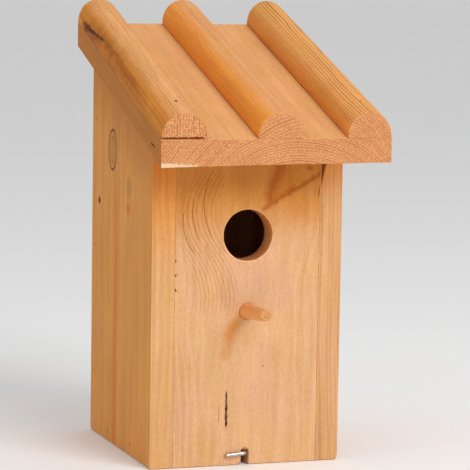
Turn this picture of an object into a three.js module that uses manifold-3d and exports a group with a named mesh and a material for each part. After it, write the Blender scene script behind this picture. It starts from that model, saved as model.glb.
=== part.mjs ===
// Nest box with a sloping single-board roof, three half-round roof battens and
// a front door that hangs on two nails. A square-bend hook, screwed into the
// floor, passes through a notch in the door and turns to hold it shut.
//
// Millimetres, +Z up, +X to the right of someone facing the door, which looks
// towards -Y. The origin is the middle of the bottom of the bounding box.

import * as THREE from 'three';
import { mergeVertices } from 'three/addons/utils/BufferGeometryUtils.js';
import Module from 'manifold-3d';

const wasm = await Module();
wasm.setup();

// ---------------------------------------------------------------- driving dimensions

const BOX_WIDTH = 125; // over the outer faces of the two side boards
const BOX_DEPTH = 137; // from the door's face to the back
const FRONT_HEIGHT = 211; // roof underside above the base, at the door's face
const BOARD = 15; // sides, back, floor and door

const ROOF_PITCH = THREE.MathUtils.degToRad(19);
const ROOF_BOARD = 14.5;
const ROOF_SIDE_OVERHANG = 11;
const ROOF_FRONT_OVERHANG = 52; // the roof ends flush with the back

const BATTEN_WIDTH = 28.6;
const BATTEN_HEIGHT = 15.2; // half a round bar on a short straight foot
const BATTEN_SKEW = -2.6; // sideways drift of the middle batten, front to back
const BATTEN_MIDDLE_X = 1.7; // middle batten's centre at the roof's front end

const HOLE_DIAMETER = 32; // entrance hole
const HOLE_HEIGHT = 145;

const PERCH_HEIGHT = 97.2;
const PERCH_REACH = 36; // beyond the door's face
const PERCH_ROOT_DIAMETER = 9.4;
const PERCH_TIP_DIAMETER = 7.2;
const PERCH_TILT = THREE.MathUtils.degToRad(3.4); // tip raised
const PERCH_BORE_DEPTH = 11;

const NOTCH_WIDTH = 5;
const NOTCH_HEIGHT = 9.2;

const DOOR_SIDE_GAP = 0.5;
const DOOR_TOP = 209.5;
const PIVOT_HEIGHT = 200.5;

const HOOK_WIRE = 2.6;
const HOOK_HEIGHT = 7.5; // shank above the base, half-way up the floor board
const HOOK_LEG = 13.2; // shank axis to the end of the leg
const HOOK_BEND = 2.2;
const HOOK_DROOP = THREE.MathUtils.degToRad(4.2); // leg's end hangs a little low
const HOOK_THREAD = 14;
const HOOK_PITCH = 1.2;
const HOOK_THREAD_DEPTH = 0.35;
const HOOK_PLAIN_SHANK = 1.5; // plain wire between the door's back and the thread
const HOOK_STAND_OFF = 0.5; // leg clear of the door's face

const GAP = 0.3; // clearance between pieces that touch on the real box
const PIVOT_CLEARANCE = 0.4; // round the pivot nails, so that the door turns freely
const PAST = 1; // how far a cut runs on beyond the face it starts from

// Nails: shank diameter, length, head diameter, head thickness.
const BRAD = { shank: 1.4, length: 25, head: 2, cap: 0.8 };
const WIRE_NAIL = { shank: 1.8, length: 35, head: 4, cap: 1 };
const PIVOT_NAIL = { shank: 2.2, length: 36, head: 3.4, cap: 1 };
const TACK = { shank: 1.2, length: 10, head: 3, cap: 0.5 };

// Where the nails go.
const BACK_NAIL_HEIGHTS = [42, 126, 210];
const FLOOR_NAIL_INSET = 42; // from the door's face and from the back
const REAR_FLOOR_NAIL_X = 24;
const ROOF_NAIL_INSET = { front: 36, back: 30 }; // from the door's face, from the back
const REAR_ROOF_NAIL_X = 9;
const REAR_ROOF_NAIL_SETBACK = 1; // behind the back board's inner face
const BATTEN_NAIL_INSET = 17.5; // from each end of a batten

const HANGER = { width: 46, height: 8, thickness: 0.8, teeth: 9, tooth: 1.8, hole: 2.2, holeInset: 3.6 };
const HANGER_HEIGHT = 233; // middle of the hanger above the base
const HANGER_SEAT = 1.6; // depth of the shallow seat in the back board
const HANGER_EASE = 1; // the seat stands off the strip all round
const HANGER_PLAIN_END = 3; // from the pocket's end to the first tooth
const HANGER_POCKET = { width: 33, height: 14, depth: 4.2 };

// ---------------------------------------------------------------- derived places

const FRONT_Y = ROOF_FRONT_OVERHANG - (BOX_DEPTH + ROOF_FRONT_OVERHANG) / 2;
const BACK_Y = FRONT_Y + BOX_DEPTH;
const EAVES_Y = FRONT_Y - ROOF_FRONT_OVERHANG;
const HALF_WIDTH = BOX_WIDTH / 2;
const INNER_HALF = HALF_WIDTH - BOARD;
const ROOF_HALF = HALF_WIDTH + ROOF_SIDE_OVERHANG;
const SLOPE = Math.tan(ROOF_PITCH);
const PLUMB = 1 / Math.cos(ROOF_PITCH); // turns a thickness into a plumb height
const PIVOT_Y = FRONT_Y + BOARD / 2;
const CIRCLE_SEGMENTS = 24;

const roofUnderside = (y) => FRONT_HEIGHT + (y - FRONT_Y) * SLOPE;
const roofTop = (y) => roofUnderside(y) + ROOF_BOARD * PLUMB;

// ---------------------------------------------------------------- solids

// A closed mesh with shared corners and no collapsed triangles.
function weld(geometry) {
  const plain = geometry.index ? geometry.toNonIndexed() : geometry.clone();
  plain.deleteAttribute('normal');
  plain.deleteAttribute('uv');
  const merged = mergeVertices(plain, 1e-4);
  const corners = merged.index.array;
  const kept = [];
  for (let i = 0; i < corners.length; i += 3) {
    const [a, b, c] = [corners[i], corners[i + 1], corners[i + 2]];
    if (a !== b && b !== c && c !== a) kept.push(a, b, c);
  }
  merged.setIndex(kept);
  return merged;
}

function toSolid(geometry) {
  const merged = weld(geometry);
  const mesh = new wasm.Mesh({
    numProp: 3,
    vertProperties: new Float32Array(merged.attributes.position.array),
    triVerts: new Uint32Array(merged.index.array),
  });
  return new wasm.Manifold(mesh);
}

function toGeometry(solid) {
  const mesh = solid.getMesh();
  const geometry = new THREE.BufferGeometry();
  geometry.setAttribute('position', new THREE.BufferAttribute(mesh.vertProperties, mesh.numProp));
  geometry.setIndex(new THREE.BufferAttribute(mesh.triVerts, 1));
  geometry.computeVertexNormals();
  return geometry;
}

function block(x0, x1, y0, y1, z0, z1) {
  const geometry = new THREE.BoxGeometry(x1 - x0, y1 - y0, z1 - z0);
  return geometry.translate((x0 + x1) / 2, (y0 + y1) / 2, (z0 + z1) / 2);
}

const outline = (points) => new THREE.Shape(points.map(([u, v]) => new THREE.Vector2(u, v)));

// An outline drawn in (Y, Z), drawn out from x0 to x1.
function alongX(shape, x0, x1) {
  const geometry = new THREE.ExtrudeGeometry(shape, { depth: x1 - x0, bevelEnabled: false });
  const axes = new THREE.Matrix4().makeBasis(
    new THREE.Vector3(0, 1, 0),
    new THREE.Vector3(0, 0, 1),
    new THREE.Vector3(1, 0, 0),
  );
  return geometry.applyMatrix4(axes).translate(x0, 0, 0);
}

// An outline drawn in (X, Z), drawn out from y0 to y1.
function alongY(shape, y0, y1) {
  const geometry = new THREE.ExtrudeGeometry(shape, {
    depth: y1 - y0,
    bevelEnabled: false,
    curveSegments: CIRCLE_SEGMENTS,
  });
  const axes = new THREE.Matrix4().makeBasis(
    new THREE.Vector3(1, 0, 0),
    new THREE.Vector3(0, 0, 1),
    new THREE.Vector3(0, -1, 0),
  );
  return geometry.applyMatrix4(axes).translate(0, y1, 0);
}

// A turned piece: profile points are [distance along the axis, radius].
function turned(profile, start, direction, segments) {
  const points = profile.map(([along, radius]) => new THREE.Vector2(radius, along));
  const geometry = new THREE.LatheGeometry(points, segments);
  const turn = new THREE.Quaternion().setFromUnitVectors(new THREE.Vector3(0, 1, 0), direction);
  return geometry.applyQuaternion(turn).translate(start.x, start.y, start.z);
}

const rod = (radius, start, direction, length, segments) =>
  turned([[0, 0], [0, radius], [length, radius], [length, 0]], start, direction, segments);

// Everything on the roof is drawn level and then tipped to the pitch by sliding
// each plumb line up, so that the ends stay plumb.
function pitchUp(geometry, sideways = 0) {
  const shear = new THREE.Matrix4().set(
    1, sideways, 0, -sideways * EAVES_Y,
    0, 1, 0, 0,
    0, SLOPE, 1, -SLOPE * EAVES_Y,
    0, 0, 0, 1,
  );
  return geometry.applyMatrix4(shear);
}

// ---------------------------------------------------------------- the assembly

const nestBox = new THREE.Group();
nestBox.name = 'nest_box';

const WOOD = {
  front: { color: 0xdda473, roughness: 0.62, metalness: 0 },
  side: { color: 0xc68f57, roughness: 0.62, metalness: 0 },
  roof: { color: 0xdea568, roughness: 0.6, metalness: 0 },
  batten: { color: 0xd18c48, roughness: 0.55, metalness: 0 },
  peg: { color: 0xd0894c, roughness: 0.6, metalness: 0 },
};
const ZINC = { color: 0xc9cbd0, roughness: 0.3, metalness: 1 };
const STEEL = { color: 0x8f8d8a, roughness: 0.45, metalness: 1 };

function addPiece(name, geometry, finish) {
  const mesh = new THREE.Mesh(geometry, new THREE.MeshStandardMaterial(finish));
  mesh.name = name;
  nestBox.add(mesh);
  return mesh;
}

// Holes that fasteners, the hook and the perch need in the wood around them.
const bores = [];
const drill = (geometry) => bores.push(toSolid(geometry));

function addWood(name, geometry, finish, cuts = []) {
  let solid = toSolid(geometry);
  for (const cut of [...cuts.map(toSolid), ...bores]) solid = solid.subtract(cut);
  addPiece(name, toGeometry(solid), finish);
}

// ---------------------------------------------------------------- nails

const NAIL_SEGMENTS = 10;
const NAIL_POINT = 1.6; // length of the point, in shank diameters
const HEAD_SINK = 0.15; // a driven head sits just under the surface

// `clear` is how far the hole stands off the shank, and `mouth` how far the
// hole runs on in front of the head.
function addNail(name, size, surface, direction, { clear = GAP, mouth = PAST } = {}) {
  const start = surface.clone().addScaledVector(direction, HEAD_SINK);
  const shank = size.shank / 2;
  const head = size.head / 2;
  const point = size.shank * NAIL_POINT;
  const profile = [
    [0, 0], [0, head], [size.cap, head], [size.cap, shank],
    [size.length - point, shank], [size.length, 0],
  ];
  addPiece(name, weld(turned(profile, start, direction, NAIL_SEGMENTS)), STEEL);

  const mouthStart = surface.clone().addScaledVector(direction, -mouth);
  const seat = mouth + HEAD_SINK + size.cap + GAP;
  const depth = mouth + HEAD_SINK + size.length + clear;
  const hole = [
    [0, 0], [0, head + GAP], [seat, head + GAP], [seat, shank + clear],
    [depth, shank + clear], [depth, 0],
  ];
  drill(turned(hole, mouthStart, direction, NAIL_SEGMENTS));
}

const LEFT_TO_RIGHT = new THREE.Vector3(1, 0, 0);
const RIGHT_TO_LEFT = new THREE.Vector3(-1, 0, 0);
const FORWARD = new THREE.Vector3(0, -1, 0);
const BACKWARD = new THREE.Vector3(0, 1, 0);
const INTO_ROOF = new THREE.Vector3(0, Math.sin(ROOF_PITCH), -Math.cos(ROOF_PITCH));

const SIDES = [
  { side: 'left', x: -HALF_WIDTH, inward: LEFT_TO_RIGHT },
  { side: 'right', x: HALF_WIDTH, inward: RIGHT_TO_LEFT },
];

function addSideNails() {
  const backNailY = BACK_Y - BOARD / 2;
  const floorNailYs = [FRONT_Y + FLOOR_NAIL_INSET, BACK_Y - FLOOR_NAIL_INSET];
  const floorNailHeight = BOARD / 2;
  for (const { side, x, inward } of SIDES) {
    BACK_NAIL_HEIGHTS.forEach((z, i) => {
      addNail(`back_nail_${side}_${i + 1}`, BRAD, new THREE.Vector3(x, backNailY, z), inward);
    });
    floorNailYs.forEach((y, i) => {
      addNail(`floor_nail_${side}_${i + 1}`, BRAD, new THREE.Vector3(x, y, floorNailHeight), inward);
    });
    const pivot = new THREE.Vector3(x, PIVOT_Y, PIVOT_HEIGHT);
    addNail(`pivot_nail_${side}`, PIVOT_NAIL, pivot, inward, { clear: PIVOT_CLEARANCE });
  }
  [-REAR_FLOOR_NAIL_X, REAR_FLOOR_NAIL_X].forEach((x, i) => {
    const surface = new THREE.Vector3(x, BACK_Y, floorNailHeight);
    addNail(`floor_nail_rear_${i + 1}`, BRAD, surface, FORWARD);
  });
}

// The roof is nailed down into the sides and the back, under the battens.
function addRoofNails() {
  const hidden = { mouth: GAP / 2 };
  const sideNailX = HALF_WIDTH - BOARD / 2;
  const sideNailYs = [FRONT_Y + ROOF_NAIL_INSET.front, BACK_Y - ROOF_NAIL_INSET.back];
  for (const { side, x } of SIDES) {
    sideNailYs.forEach((y, i) => {
      const surface = new THREE.Vector3(Math.sign(x) * sideNailX, y, roofTop(y));
      addNail(`roof_nail_${side}_${i + 1}`, WIRE_NAIL, surface, INTO_ROOF, hidden);
    });
  }
  const rearY = BACK_Y - BOARD + REAR_ROOF_NAIL_SETBACK;
  [-REAR_ROOF_NAIL_X, REAR_ROOF_NAIL_X].forEach((x, i) => {
    const surface = new THREE.Vector3(x, rearY, roofTop(rearY));
    addNail(`roof_nail_rear_${i + 1}`, WIRE_NAIL, surface, INTO_ROOF, hidden);
  });
}

// ---------------------------------------------------------------- roof

const BATTENS = [
  { name: 'roof_batten_left', x: -ROOF_HALF + BATTEN_WIDTH / 2, skew: 0 },
  { name: 'roof_batten_middle', x: BATTEN_MIDDLE_X, skew: BATTEN_SKEW },
  { name: 'roof_batten_right', x: ROOF_HALF - BATTEN_WIDTH / 2, skew: 0 },
];

function addBattenNails() {
  for (const { name, x, skew } of BATTENS) {
    [EAVES_Y + BATTEN_NAIL_INSET, BACK_Y - BATTEN_NAIL_INSET].forEach((y, i) => {
      const drift = (skew * (y - EAVES_Y)) / (BACK_Y - EAVES_Y);
      const ridge = roofTop(y) + GAP + BATTEN_HEIGHT * PLUMB;
      const surface = new THREE.Vector3(x + drift, y, ridge);
      addNail(name.replace('roof_batten', 'batten_nail') + `_${i + 1}`, BRAD, surface, INTO_ROOF);
    });
  }
}

function addRoof() {
  const eavesUnderside = roofUnderside(EAVES_Y);
  const eavesTop = roofTop(EAVES_Y);
  const level = block(-ROOF_HALF, ROOF_HALF, EAVES_Y, BACK_Y, eavesUnderside, eavesTop);
  addWood('roof_board', pitchUp(level), WOOD.roof);

  const half = BATTEN_WIDTH / 2;
  const foot = (BATTEN_HEIGHT - half) * PLUMB;
  const section = new THREE.Shape();
  section.moveTo(-half, 0);
  section.lineTo(half, 0);
  section.lineTo(half, foot);
  section.absellipse(0, foot, half, half * PLUMB, 0, Math.PI, false, 0);
  section.closePath();
  for (const { name, x, skew } of BATTENS) {
    const bar = alongY(section, EAVES_Y, BACK_Y).translate(x, 0, eavesTop + GAP);
    addWood(name, pitchUp(bar, skew / (BACK_Y - EAVES_Y)), WOOD.batten);
  }
}

// ---------------------------------------------------------------- body

function addBody() {
  const top = (y) => roofUnderside(y) - GAP;
  const sideOutline = outline([
    [FRONT_Y, 0], [BACK_Y, 0], [BACK_Y, top(BACK_Y)], [FRONT_Y, top(FRONT_Y)],
  ]);
  addWood('side_left', alongX(sideOutline, -HALF_WIDTH, -INNER_HALF), WOOD.side);
  addWood('side_right', alongX(sideOutline, INNER_HALF, HALF_WIDTH), WOOD.side);

  const backFront = BACK_Y - BOARD;
  const backOutline = outline([
    [backFront, 0], [BACK_Y, 0], [BACK_Y, top(BACK_Y)], [backFront, top(backFront)],
  ]);
  const recess = (width, height, depth) => block(
    -width / 2, width / 2, BACK_Y - depth, BACK_Y + PAST,
    HANGER_HEIGHT - height / 2, HANGER_HEIGHT + height / 2,
  );
  const hangerSeat = recess(HANGER.width + 2 * HANGER_EASE, HANGER.height + 2 * HANGER_EASE, HANGER_SEAT);
  const hangerPocket = recess(HANGER_POCKET.width, HANGER_POCKET.height, HANGER_POCKET.depth);
  const innerEdge = INNER_HALF - GAP;
  const back = alongX(backOutline, -innerEdge, innerEdge);
  addWood('back_board', back, WOOD.side, [hangerSeat, hangerPocket]);

  const floor = block(-innerEdge, innerEdge, FRONT_Y + BOARD + GAP, backFront - GAP, 0, BOARD);
  addWood('floor_board', floor, WOOD.side);
}

// ---------------------------------------------------------------- door and perch

const PERCH_AXIS = new THREE.Vector3(0, -Math.cos(PERCH_TILT), Math.sin(PERCH_TILT));
const PERCH_ROOT = new THREE.Vector3(0, FRONT_Y, PERCH_HEIGHT)
  .addScaledVector(PERCH_AXIS, -PERCH_BORE_DEPTH);

function addPerch() {
  const root = PERCH_ROOT_DIAMETER / 2;
  const tip = PERCH_TIP_DIAMETER / 2;
  const length = PERCH_BORE_DEPTH + PERCH_REACH;
  const edge = 0.6; // broken edge round the tip
  const profile = [
    [0, 0], [0, root], [PERCH_BORE_DEPTH, root],
    [length - edge, tip], [length, tip - edge], [length, 0],
  ];
  const perchSegments = 36;
  addPiece('perch', weld(turned(profile, PERCH_ROOT, PERCH_AXIS, perchSegments)), WOOD.peg);
  const start = PERCH_ROOT.clone().addScaledVector(PERCH_AXIS, -GAP);
  drill(rod(root + GAP, start, PERCH_AXIS, GAP + PERCH_BORE_DEPTH + PAST, perchSegments));
}

function addDoor() {
  const half = INNER_HALF - DOOR_SIDE_GAP;
  const slab = block(-half, half, FRONT_Y, FRONT_Y + BOARD, 0, DOOR_TOP);
  const entranceStart = new THREE.Vector3(0, FRONT_Y - PAST, HOLE_HEIGHT);
  const entranceSegments = 72;
  const entrance = rod(HOLE_DIAMETER / 2, entranceStart, BACKWARD, BOARD + 2 * PAST, entranceSegments);
  const notch = block(
    -NOTCH_WIDTH / 2, NOTCH_WIDTH / 2, FRONT_Y - PAST, FRONT_Y + BOARD + PAST, -PAST, NOTCH_HEIGHT,
  );
  addWood('front_door', slab, WOOD.front, [entrance, notch]);
}

// ---------------------------------------------------------------- latch hook

// The hook is drawn with its shank along +Y from the bend and its leg along -X,
// and is then turned about the shank so that the end of the leg hangs low.
function addHook() {
  const wire = HOOK_WIRE / 2;
  const legY = FRONT_Y - HOOK_STAND_OFF - wire;
  const shankEnd = FRONT_Y + BOARD + HOOK_PLAIN_SHANK;

  const bendSteps = 8;
  const bend = Array.from({ length: bendSteps + 1 }, (_, i) => {
    const turn = (i / bendSteps) * (Math.PI / 2);
    const x = HOOK_BEND * (Math.cos(turn) - 1);
    return new THREE.Vector3(x, legY + HOOK_BEND * (1 - Math.sin(turn)), 0);
  });
  const route = [new THREE.Vector3(0, shankEnd, 0), ...bend, new THREE.Vector3(-HOOK_LEG, legY, 0)];
  const path = new THREE.CurvePath();
  for (let i = 1; i < route.length; i += 1) path.add(new THREE.LineCurve3(route[i - 1], route[i]));

  const wireSegments = 12;
  const section = outline(Array.from({ length: wireSegments }, (_, i) => {
    const angle = (i / wireSegments) * 2 * Math.PI;
    return [wire * Math.cos(angle), wire * Math.sin(angle)];
  }));
  const steps = 44;
  const bent = new THREE.ExtrudeGeometry(section, { steps, extrudePath: path, bevelEnabled: false });

  // Coarse wood thread, drawn as rings, with a pointed end. It starts inside the plain shank.
  const root = wire - HOOK_THREAD_DEPTH;
  const point = 2 * HOOK_PITCH;
  const thread = [[-PAST, 0], [-PAST, root], [0, root]];
  for (let along = 0; along < HOOK_THREAD - point; along += HOOK_PITCH) {
    thread.push([along + HOOK_PITCH / 2, wire], [along + HOOK_PITCH, root]);
  }
  thread.push([HOOK_THREAD + PAST, 0]);
  const threadStart = new THREE.Vector3(0, shankEnd, 0);
  const screw = turned(thread, threadStart, BACKWARD, wireSegments);

  const hook = toGeometry(toSolid(bent).add(toSolid(screw)));
  const mesh = addPiece('latch_hook', hook, ZINC);
  mesh.position.set(0, 0, HOOK_HEIGHT);
  mesh.rotation.y = -HOOK_DROOP;

  const boreStart = new THREE.Vector3(0, FRONT_Y + BOARD, HOOK_HEIGHT);
  const boreDepth = HOOK_PLAIN_SHANK + HOOK_THREAD + 2 * PAST;
  drill(rod(wire + GAP, boreStart, BACKWARD, boreDepth, wireSegments));
}

// ---------------------------------------------------------------- hanger

// A sawtooth strip let into the back; its teeth sit on a nail in the wall.
function addHanger() {
  const halfWidth = HANGER.width / 2;
  const halfHeight = HANGER.height / 2;
  const toothed = HANGER_POCKET.width / 2 - HANGER_PLAIN_END;
  const points = [[-halfWidth, halfHeight], [-halfWidth, -halfHeight], [-toothed, -halfHeight]];
  const pitch = (2 * toothed) / HANGER.teeth;
  for (let i = 0; i < HANGER.teeth; i += 1) {
    const start = -toothed + i * pitch;
    points.push([start + pitch / 2, -halfHeight + HANGER.tooth], [start + pitch, -halfHeight]);
  }
  points.push([halfWidth, -halfHeight], [halfWidth, halfHeight]);
  const strip = outline(points);
  const tackX = halfWidth - HANGER.holeInset;
  for (const x of [-tackX, tackX]) {
    const hole = new THREE.Path();
    hole.absarc(x, 0, HANGER.hole / 2, 0, 2 * Math.PI, true);
    strip.holes.push(hole);
  }
  const seat = BACK_Y - HANGER_SEAT + GAP / 2;
  const plate = alongY(strip, seat, seat + HANGER.thickness).translate(0, 0, HANGER_HEIGHT);
  addPiece('hanger_strip', weld(plate), ZINC);

  [-tackX, tackX].forEach((x, i) => {
    const head = seat + HANGER.thickness + TACK.cap + HEAD_SINK + GAP / 2;
    const surface = new THREE.Vector3(x, head, HANGER_HEIGHT);
    addNail(`hanger_tack_${i + 1}`, TACK, surface, FORWARD, { mouth: GAP / 3 });
  });
}

addSideNails();
addRoofNails();
addBattenNails();
addHanger();
addPerch();
addHook();
addRoof();
addBody();
addDoor();

export default nestBox;
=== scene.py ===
"""Stained softwood nest box: half-round roof battens, an inset door on two nails, a peg and a hook."""

import math

import bmesh
import bpy
from mathutils import Matrix, Vector, noise


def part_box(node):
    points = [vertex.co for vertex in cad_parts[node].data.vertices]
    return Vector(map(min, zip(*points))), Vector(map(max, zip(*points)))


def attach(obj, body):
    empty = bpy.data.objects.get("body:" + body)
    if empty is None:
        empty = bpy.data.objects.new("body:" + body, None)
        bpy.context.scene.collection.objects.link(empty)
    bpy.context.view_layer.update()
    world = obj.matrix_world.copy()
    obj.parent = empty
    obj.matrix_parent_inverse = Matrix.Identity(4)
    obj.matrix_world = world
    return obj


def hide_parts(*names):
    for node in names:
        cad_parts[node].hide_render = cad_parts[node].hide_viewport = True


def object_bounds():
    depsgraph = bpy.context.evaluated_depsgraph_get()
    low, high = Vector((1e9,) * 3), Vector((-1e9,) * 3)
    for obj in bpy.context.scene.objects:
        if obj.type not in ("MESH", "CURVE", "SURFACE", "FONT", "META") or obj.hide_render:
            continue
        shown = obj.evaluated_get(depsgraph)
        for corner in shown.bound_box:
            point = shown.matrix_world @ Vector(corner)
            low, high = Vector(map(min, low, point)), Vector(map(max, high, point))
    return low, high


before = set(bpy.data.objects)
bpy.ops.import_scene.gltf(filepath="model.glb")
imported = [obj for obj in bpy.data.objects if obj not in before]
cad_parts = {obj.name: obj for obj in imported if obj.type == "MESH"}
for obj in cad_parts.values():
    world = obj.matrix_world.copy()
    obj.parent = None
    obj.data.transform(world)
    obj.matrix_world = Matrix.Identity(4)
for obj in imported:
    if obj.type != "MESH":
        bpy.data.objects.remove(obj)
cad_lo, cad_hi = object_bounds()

noise.seed_set(1)  # the same unevenness in every run

# ------------------------------------------------------------------ places, from the frame

MM = 0.001
X, Y, Z = Vector((1, 0, 0)), Vector((0, 1, 0)), Vector((0, 0, 1))

door_lo, door_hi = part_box("front_door")
roof_lo, roof_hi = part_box("roof_board")
side_lo, side_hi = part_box("side_right")
back_lo, back_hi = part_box("back_board")
floor_lo, floor_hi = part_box("floor_board")
batten_lo, batten_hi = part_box("roof_batten_left")

PITCH = math.radians(19)
SLOPE = math.tan(PITCH)
UP_SLOPE = Vector((0, math.cos(PITCH), math.sin(PITCH)))
OFF_ROOF = Vector((0, -math.sin(PITCH), math.cos(PITCH)))
BOARD = side_hi.x - side_lo.x
FRONT = door_lo.y
BACK = back_hi.y
EAVES = roof_lo.y
ROOF_DEPTH = roof_hi.y - roof_lo.y
ROOF_PLUMB = roof_hi.z - roof_lo.z - ROOF_DEPTH * SLOPE


def rise(y):
    """How far the roof has climbed at y, from its front end."""
    return (y - EAVES) * SLOPE


# ------------------------------------------------------------------ node graphs


def screen(red, green, blue):
    """A colour given by its 0 to 255 screen values, as linear light."""
    shares = [v / 255 for v in (red, green, blue)]
    return [s / 12.92 if s <= 0.04045 else ((s + 0.055) / 1.055) ** 2.4 for s in shares] + [1.0]


class Value:
    """A number, vector or colour that varies over a surface. Arithmetic on it adds Math nodes."""

    def __init__(self, graph, socket):
        self.graph, self.socket = graph, socket

    def __add__(self, other):
        return self.graph.math("ADD", self, other)

    def __sub__(self, other):
        return self.graph.math("SUBTRACT", self, other)

    def __rsub__(self, other):
        return self.graph.math("SUBTRACT", other, self)

    def __mul__(self, other):
        return self.graph.math("MULTIPLY", self, other)

    def __truediv__(self, other):
        return self.graph.math("DIVIDE", self, other)

    def __pow__(self, other):
        return self.graph.math("POWER", self, other)

    def __abs__(self):
        return self.graph.math("ABSOLUTE", self)

    __radd__, __rmul__ = __add__, __mul__

    def squared(self):
        return self * self

    def at_least(self, other):
        return self.graph.math("MAXIMUM", self, other)

    def at_most(self, other):
        return self.graph.math("MINIMUM", self, other)

    def ramp(self, start, end):
        """0 up to start and 1 from end on, smoothly; start may be the higher of the two."""
        inputs = {"Value": self, "From Min": start, "From Max": end}
        made = self.graph.node("ShaderNodeMapRange", inputs, interpolation_type="SMOOTHSTEP")
        return Value(self.graph, made.outputs["Result"])


class Graph:
    """A material's node tree, around its Principled BSDF."""

    def __init__(self, name):
        self.material = bpy.data.materials.new(name)
        self.material.use_nodes = True
        self.tree = self.material.node_tree
        self.shader = self.tree.nodes["Principled BSDF"]

    def feed(self, socket, value):
        if isinstance(value, Value):
            self.tree.links.new(value.socket, socket)
        else:
            socket.default_value = value

    def node(self, kind, inputs, **settings):
        made = self.tree.nodes.new(kind)
        for key, value in settings.items():
            setattr(made, key, value)
        for key, value in inputs.items():
            self.feed(made.inputs[key], value)
        return made

    def math(self, operation, *values):
        made = self.node("ShaderNodeMath", dict(enumerate(values)), operation=operation)
        return Value(self, made.outputs[0])

    def vector_math(self, operation, *values, output=0):
        made = self.node("ShaderNodeVectorMath", dict(enumerate(values)), operation=operation)
        return Value(self, made.outputs[output])

    def dot(self, vector, direction):
        return self.vector_math("DOT_PRODUCT", vector, tuple(direction), output="Value")

    def combine(self, x, y, z):
        made = self.node("ShaderNodeCombineXYZ", {"X": x, "Y": y, "Z": z})
        return Value(self, made.outputs[0])

    def coordinate(self, name):
        return Value(self, self.tree.nodes.new("ShaderNodeTexCoord").outputs[name])

    def noise(self, position, size, detail=2.0, roughness=0.5, seed=0.0):
        """Noise of about -1 to 1. size is its grain along each direction of position."""
        scale = tuple(1 / s for s in size)
        moved = self.vector_math("MULTIPLY_ADD", position, scale, (seed, seed * 1.7, seed * 2.3))
        inputs = {"Vector": moved, "Scale": 1.0, "Detail": detail, "Roughness": roughness}
        made = self.node("ShaderNodeTexNoise", inputs)
        return (Value(self, made.outputs[0]) - 0.5) * 3.2

    def mix(self, share, first, second, blend="MIX"):
        made = self.node("ShaderNodeMix", {}, data_type="RGBA", blend_type=blend)
        for index, value in ((0, share), (6, first), (7, second)):
            self.feed(made.inputs[index], value)
        return Value(self, made.outputs[2])

    def finish(self, colour, roughness, height=None, depth=0.0, **constants):
        """Feeds the shader. depth is how deep the relief is, in metres."""
        self.feed(self.shader.inputs["Base Color"], colour)
        self.feed(self.shader.inputs["Roughness"], roughness)
        for key, value in constants.items():
            self.shader.inputs[key.replace("_", " ")].default_value = value
        if height is not None:
            bump = self.node("ShaderNodeBump", {"Strength": 1.0, "Distance": depth, "Height": height})
            self.tree.links.new(bump.outputs[0], self.shader.inputs["Normal"])
        return self.material


# ------------------------------------------------------------------ marks on the wood
#
# A mark is a function of (across, along, edges) that gives a mask. Places and sizes are in millimetres:
# across the grain and along it, in the piece's own frame. edges has two noises shared by all the marks
# of a piece, a fine one and a coarse one, that make their edges uneven, and the place through the board.


def streak(across, middle, low, high, width, bow=0.0, lean=0.0, wobble=0.3, fade=4.0):
    """A thin line along the grain, bowed sideways by bow times the distance from middle squared."""

    def mask(a, g, edges):
        off = g - middle
        beside = abs(a - (off * bow + lean) * off + edges["fine"] * wobble - across)
        ends = g.ramp(low, low + fade) * g.ramp(high, high - fade)
        return beside.ramp(width, width * 0.25) * ends

    return mask


def comb(across, middle, half_span, low, high, spacing, bow=0.0, lean=0.0):
    """Fine lines side by side along the grain, bowed and leaning together, like growth rings."""

    def mask(a, g, edges):
        off = g - middle
        bent = a - (off * bow + lean) * off + edges["fine"] * 0.25 - across
        phase = a.graph.math("FRACT", bent / spacing + edges["coarse"] * 0.2 + 50.0)
        inside = abs(bent).ramp(half_span, half_span * 0.5)
        ends = g.ramp(low, low + 14) * g.ramp(high, high - 14)
        return phase.ramp(0.3, 0.9) * phase.ramp(1.0, 0.92) * inside * ends

    return mask


def oval(a, g, across, along, half_width, half_length):
    """Distance from an oval's centre, 1 on its outline."""
    return (((a - across) / half_width).squared() + ((g - along) / half_length).squared()) ** 0.5


def patch(across, along, half_width, half_length, soft=0.4, ragged=0.2):
    """A round or oval spot with an uneven edge."""

    def mask(a, g, edges):
        reach = oval(a, g, across, along, half_width, half_length)
        return (reach + edges["coarse"] * ragged).ramp(1.0, 1.0 - soft)

    return mask


def ring(across, along, half_width, half_length, thickness, wander=0.06):
    """The outline of an oval, its thickness a share of its size."""

    def mask(a, g, edges):
        reach = oval(a, g, across, along, half_width, half_length)
        return abs(reach + edges["coarse"] * wander - 1.0).ramp(thickness, thickness * 0.2)

    return mask


def smear(start, end, width, soft=0.7, ragged=0.2):
    """A stroke from start to end, both given as (across, along)."""
    run = (end[0] - start[0], end[1] - start[1])
    length_squared = run[0] ** 2 + run[1] ** 2

    def mask(a, g, edges):
        da, dg = a - start[0], g - start[1]
        share = (da * run[0] + dg * run[1]) / length_squared
        share = share.at_least(0.0).at_most(1.0)
        gap = ((da - share * run[0]).squared() + (dg - share * run[1]).squared()) ** 0.5
        return (gap + edges["fine"] * (ragged * width)).ramp(width, width * (1 - soft))

    return mask


def above_line(start, end, soft, left_edge=None):
    """Everything over the line through start and end, and right of left_edge, given as (across, soft)."""
    lean = (end[1] - start[1]) / (end[0] - start[0])

    def mask(a, g, edges):
        over = (g - a * lean + edges["coarse"] + (start[0] * lean - start[1])).ramp(0.0, soft)
        if left_edge is None:
            return over
        return over * (a + edges["coarse"]).ramp(left_edge[0], left_edge[0] + left_edge[1])

    return mask


def on_edge(face, mark, deep=1.0):
    """A mark on the board's edge at face: what the mark takes as across is there the way through."""

    def mask(a, g, edges):
        return mark(edges["through"], g, edges) * abs(a - face).ramp(deep, deep * 0.5)

    return mask


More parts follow.
